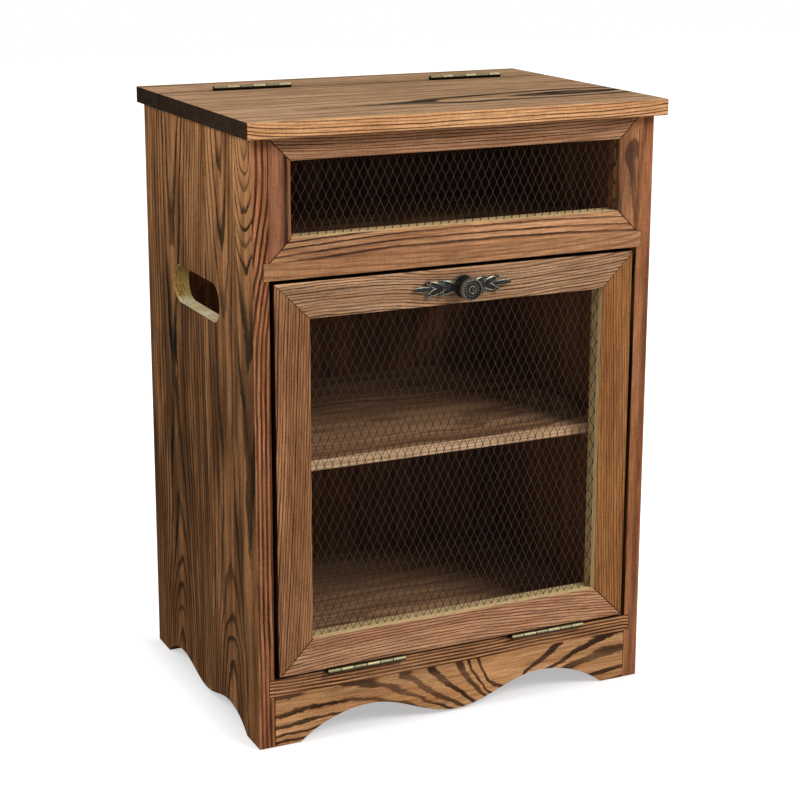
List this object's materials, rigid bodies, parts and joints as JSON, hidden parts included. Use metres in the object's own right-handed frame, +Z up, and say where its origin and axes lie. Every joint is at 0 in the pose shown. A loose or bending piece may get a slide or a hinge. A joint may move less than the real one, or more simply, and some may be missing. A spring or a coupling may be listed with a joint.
{
  "type": "tilt out vegetable bin cabinet",
  "caption": "Wooden vegetable bin cabinet with a hinged lid over a top bin, and a net door below that tilts down in front of two shelves.",
  "frame": {"origin": "on the ground, under the middle of the whole cabinet's box", "axes": "+Z up from the feet, the door and knob face -Y, +X to the right seen from the front"},
  "size_m": [0.4, 0.3, 0.5575],
  "materials": {
    "side_wood": "burnt and brushed pine, satin",
    "front_wood": "burnt and brushed pine, satin",
    "lid_wood": "burnt and brushed pine, satin",
    "raw_wood": "bare planed pine",
    "net_black": "thin black coat",
    "old_brass": "antique, rubbed on the high spots",
    "pewter": "dark antique pewter, rubbed on the high spots",
    "zinc": "zinc plated",
    "plastic": "brown moulded plastic"
  },
  "bodies": {
    "cabinet": {"left_side_panel": "side_wood", "right_side_panel": "side_wood", "back_panel": "raw_wood", "top_strip": "lid_wood", "bin_floor": "front_wood", "middle_shelf": "raw_wood", "left_shelf_cleat": "raw_wood", "right_shelf_cleat": "raw_wood", "bottom_shelf": "front_wood", "front_apron": "front_wood", "upper_frame_top_rail": "front_wood", "upper_frame_bottom_rail": "front_wood", "upper_frame_left_stile": "front_wood", "upper_frame_right_stile": "front_wood", "upper_net": "net_black", "lid_hinge_left_strip_leaf": "old_brass", "lid_hinge_left_pin": "old_brass", "lid_hinge_right_strip_leaf": "old_brass", "lid_hinge_right_pin": "old_brass", "door_hinge_left_shelf_leaf": "old_brass", "door_hinge_left_pin": "old_brass", "door_hinge_right_shelf_leaf": "old_brass", "door_hinge_right_pin": "old_brass", "strip_leaf_screws": "old_brass", "shelf_leaf_screws": "old_brass", "catch_housing": "plastic", "catch_screws": "zinc", "cleat_screws": "zinc", "back_panel_nails": "zinc", "strip_dowels": "raw_wood", "apron_dowels": "raw_wood"},
    "lid": {"lid": "lid_wood", "lid_hinge_left_lid_leaf": "old_brass", "lid_hinge_right_lid_leaf": "old_brass", "lid_leaf_screws": "old_brass"},
    "door": {"door_top_rail": "front_wood", "door_bottom_rail": "front_wood", "door_left_stile": "front_wood", "door_right_stile": "front_wood", "door_net": "net_black", "knob": "pewter", "knob_backplate": "pewter", "knob_screw": "zinc", "door_hinge_left_door_leaf": "old_brass", "door_hinge_right_door_leaf": "old_brass", "door_leaf_screws": "old_brass", "strike_plate": "zinc", "strike_screw": "zinc"}
  },
  "joints": [
    {"name": "lid_hinge", "type": "hinge", "parent": "cabinet", "child": "lid", "pos_m": [0, 0.0827, 0.5552], "axis": [-1, 0, 0], "range_deg": [0, 180]},
    {"name": "door_hinge", "type": "hinge", "parent": "cabinet", "child": "door", "pos_m": [0, -0.1302, 0.0638], "axis": [1, 0, 0], "range_deg": [0, 95]}
  ]
}
